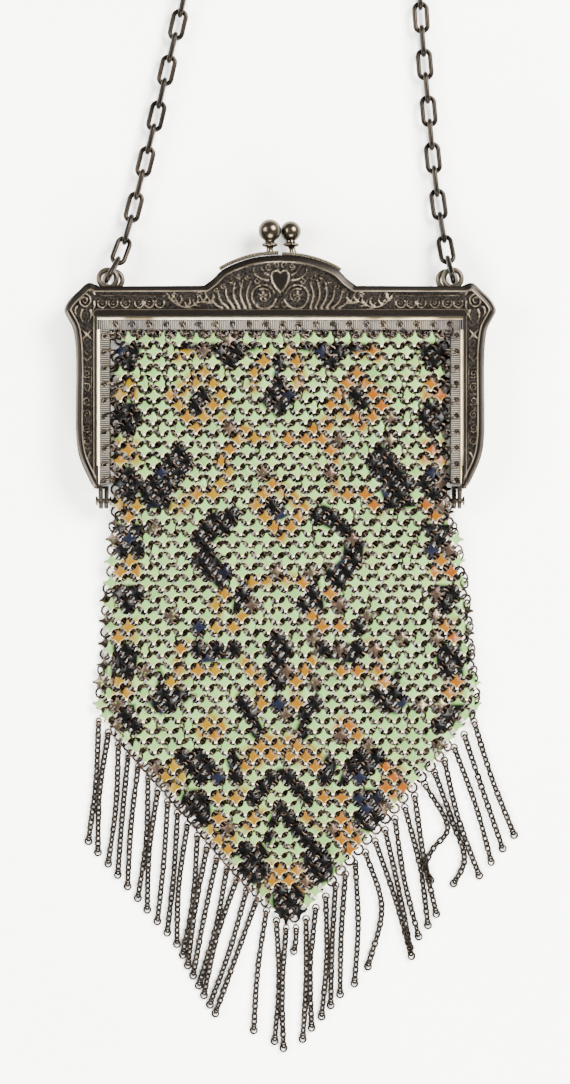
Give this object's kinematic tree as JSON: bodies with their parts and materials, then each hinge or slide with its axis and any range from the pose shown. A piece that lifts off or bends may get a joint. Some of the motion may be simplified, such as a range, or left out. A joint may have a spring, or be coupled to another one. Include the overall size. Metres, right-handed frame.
{
  "type": "metal mesh purse",
  "caption": "Metal mesh purse lying flat, with an engraved kiss-clasp frame, enamelled tile mesh in a bold geometric pattern, a pointed fringed bottom and a carry chain.",
  "frame": {"origin": "on the plain border of the back half of the frame, below the middle of the top bar, at the back face", "axes": "+X across the purse to its right as seen from the front, +Y from the fringe towards the carry chain, +Z out of the front face"},
  "size_m": [0.1135, 0.3301, 0.0097],
  "materials": {
    "oxidised_frame": "dark oxidised silver plate, worn bright on the raised edges",
    "lacing_strip": "silver-cream reeded strip, tarnished in places",
    "enamelled_mesh": "pale green, ochre, orange and black enamel on linked metal tiles",
    "fringe_chain": "dark bronzed fine cable chain",
    "clasp_metal": "worn bronzed plate",
    "carry_chain": "dark bronzed cable chain"
  },
  "bodies": {
    "root": {"front_frame": "oxidised_frame", "back_frame": "oxidised_frame", "front_lacing_strip": "lacing_strip", "back_lacing_strip": "lacing_strip", "front_mesh": "enamelled_mesh", "back_mesh": "enamelled_mesh", "fringe": "fringe_chain", "front_clasp": "clasp_metal", "back_clasp": "clasp_metal", "left_hinge_pin": "clasp_metal", "right_hinge_pin": "clasp_metal", "carry_chain": "carry_chain"}
  },
  "joints": []
}
